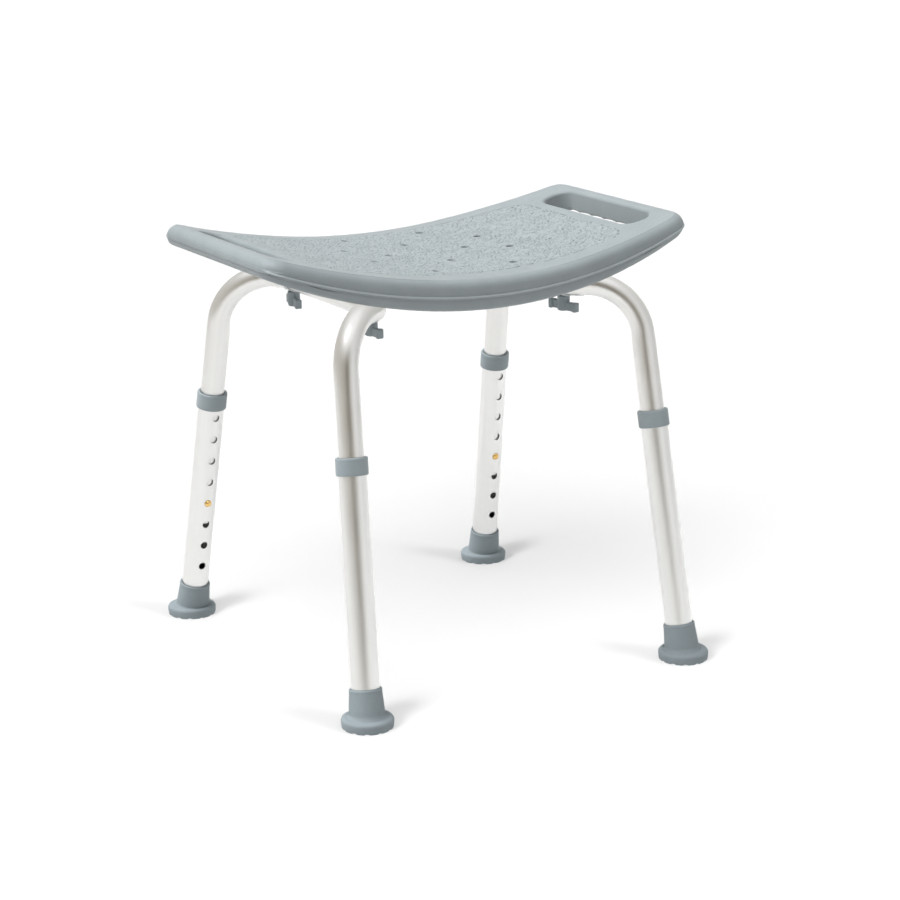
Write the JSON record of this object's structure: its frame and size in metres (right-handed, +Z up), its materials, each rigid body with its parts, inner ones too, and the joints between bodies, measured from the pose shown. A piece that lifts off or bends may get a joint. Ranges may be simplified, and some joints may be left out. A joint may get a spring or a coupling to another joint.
{
  "type": "shower stool",
  "caption": "Height-adjustable shower stool: saddle-shaped plastic seat with end hand slots and drain holes, bent aluminium leg frames, telescoping legs and rubber feet.",
  "frame": {"origin": "on the floor at the centre of the footprint, with the stool standing at rest height (button in the fifth hole from the top)", "axes": "+X along the seat's long side towards the right-hand slot, +Y to the back, +Z up"},
  "size_m": [0.5008, 0.4624, 0.4594],
  "materials": {
    "seat_plastic": "blow-moulded polyethylene with a fine leather grain",
    "frame_aluminium": "satin anodised tube",
    "leg_aluminium": "satin anodised tube",
    "collar_plastic": "fine matte moulding",
    "foot_rubber": "grey non-slip rubber",
    "plate_steel": "plain stamped disc",
    "button_brass": "polished crown",
    "spring_steel": "spring temper strip",
    "knob_plastic": "fine matte moulding",
    "stud_steel": "zinc plated",
    "washer_plastic": "smooth moulding",
    "insert_brass": "knurled moulded-in insert"
  },
  "bodies": {
    "seat": {"seat_shell": "seat_plastic", "left_leg_frame": "frame_aluminium", "right_leg_frame": "frame_aluminium", "seat_insert_back_left": "insert_brass", "seat_insert_front_left": "insert_brass", "seat_insert_front_right": "insert_brass", "seat_insert_back_right": "insert_brass", "button_spring_back_left": "spring_steel", "button_spring_front_left": "spring_steel", "button_spring_front_right": "spring_steel", "button_spring_back_right": "spring_steel"},
    "leg_back_left": {"lower_leg_back_left": "leg_aluminium", "leg_collar_back_left": "collar_plastic", "rubber_foot_back_left": "foot_rubber", "foot_plate_back_left": "plate_steel"},
    "button_back_left": {"height_button_back_left": "button_brass"},
    "washer_back_left": {"knob_washer_back_left": "washer_plastic"},
    "knob_back_left": {"knob_head_back_left": "knob_plastic", "knob_stud_back_left": "stud_steel"},
    "leg_front_left": {"lower_leg_front_left": "leg_aluminium", "leg_collar_front_left": "collar_plastic", "rubber_foot_front_left": "foot_rubber", "foot_plate_front_left": "plate_steel"},
    "button_front_left": {"height_button_front_left": "button_brass"},
    "washer_front_left": {"knob_washer_front_left": "washer_plastic"},
    "knob_front_left": {"knob_head_front_left": "knob_plastic", "knob_stud_front_left": "stud_steel"},
    "leg_front_right": {"lower_leg_front_right": "leg_aluminium", "leg_collar_front_right": "collar_plastic", "rubber_foot_front_right": "foot_rubber", "foot_plate_front_right": "plate_steel"},
    "button_front_right": {"height_button_front_right": "button_brass"},
    "washer_front_right": {"knob_washer_front_right": "washer_plastic"},
    "knob_front_right": {"knob_head_front_right": "knob_plastic", "knob_stud_front_right": "stud_steel"},
    "leg_back_right": {"lower_leg_back_right": "leg_aluminium", "leg_collar_back_right": "collar_plastic", "rubber_foot_back_right": "foot_rubber", "foot_plate_back_right": "plate_steel"},
    "button_back_right": {"height_button_back_right": "button_brass"},
    "washer_back_right": {"knob_washer_back_right": "washer_plastic"},
    "knob_back_right": {"knob_head_back_right": "knob_plastic", "knob_stud_back_right": "stud_steel"}
  },
  "joints": [
    {"name": "leg_height_back_left", "type": "slide", "parent": "seat", "child": "leg_back_left", "axis": [-0.0437, 0.1751, -0.9836], "range_m": [-0.0508, 0.1016]},
    {"name": "button_press_back_left", "type": "slide", "parent": "seat", "child": "button_back_left", "axis": [0.0078, 0.9846, 0.1749], "range_m": [0, 0.0045], "stiffness_N_per_m": 2000, "springref_m": -0.002, "deforming": ["button_spring_back_left"]},
    {"name": "washer_drop_back_left", "type": "slide", "parent": "seat", "child": "washer_back_left", "axis": [0, 0, -1], "range_m": [0, 0.01]},
    {"name": "knob_turn_back_left", "type": "hinge", "parent": "washer_back_left", "child": "knob_back_left", "pos_m": [-0.115, 0.085, 0.3725], "axis": [0, 0, -1], "range_deg": [0, 3600]},
    {"name": "leg_height_front_left", "type": "slide", "parent": "seat", "child": "leg_front_left", "axis": [-0.0437, -0.1751, -0.9836], "range_m": [-0.0508, 0.1016]},
    {"name": "button_press_front_left", "type": "slide", "parent": "seat", "child": "button_front_left", "axis": [0.0078, -0.9846, 0.1749], "range_m": [0, 0.0045], "stiffness_N_per_m": 2000, "springref_m": -0.002, "deforming": ["button_spring_front_left"]},
    {"name": "washer_drop_front_left", "type": "slide", "parent": "seat", "child": "washer_front_left", "axis": [0, 0, -1], "range_m": [0, 0.01]},
    {"name": "knob_turn_front_left", "type": "hinge", "parent": "washer_front_left", "child": "knob_front_left", "pos_m": [-0.115, -0.085, 0.3725], "axis": [0, 0, -1], "range_deg": [0, 3600]},
    {"name": "leg_height_front_right", "type": "slide", "parent": "seat", "child": "leg_front_right", "axis": [0.0437, -0.1751, -0.9836], "range_m": [-0.0508, 0.1016]},
    {"name": "button_press_front_right", "type": "slide", "parent": "seat", "child": "button_front_right", "axis": [-0.0078, -0.9846, 0.1749], "range_m": [0, 0.0045], "stiffness_N_per_m": 2000, "springref_m": -0.002, "deforming": ["button_spring_front_right"]},
    {"name": "washer_drop_front_right", "type": "slide", "parent": "seat", "child": "washer_front_right", "axis": [0, 0, -1], "range_m": [0, 0.01]},
    {"name": "knob_turn_front_right", "type": "hinge", "parent": "washer_front_right", "child": "knob_front_right", "pos_m": [0.115, -0.085, 0.3725], "axis": [0, 0, -1], "range_deg": [0, 3600]},
    {"name": "leg_height_back_right", "type": "slide", "parent": "seat", "child": "leg_back_right", "axis": [0.0437, 0.1751, -0.9836], "range_m": [-0.0508, 0.1016]},
    {"name": "button_press_back_right", "type": "slide", "parent": "seat", "child": "button_back_right", "axis": [-0.0078, 0.9846, 0.1749], "range_m": [0, 0.0045], "stiffness_N_per_m": 2000, "springref_m": -0.002, "deforming": ["button_spring_back_right"]},
    {"name": "washer_drop_back_right", "type": "slide", "parent": "seat", "child": "washer_back_right", "axis": [0, 0, -1], "range_m": [0, 0.01]},
    {"name": "knob_turn_back_right", "type": "hinge", "parent": "washer_back_right", "child": "knob_back_right", "pos_m": [0.115, 0.085, 0.3725], "axis": [0, 0, -1], "range_deg": [0, 3600]}
  ],
  "couplings": [
    {"joint": "knob_turn_back_left", "follows": "washer_drop_back_left", "rad_per_m": 6283.2},
    {"joint": "knob_turn_front_left", "follows": "washer_drop_front_left", "rad_per_m": 6283.2},
    {"joint": "knob_turn_front_right", "follows": "washer_drop_front_right", "rad_per_m": 6283.2},
    {"joint": "knob_turn_back_right", "follows": "washer_drop_back_right", "rad_per_m": 6283.2}
  ]
}
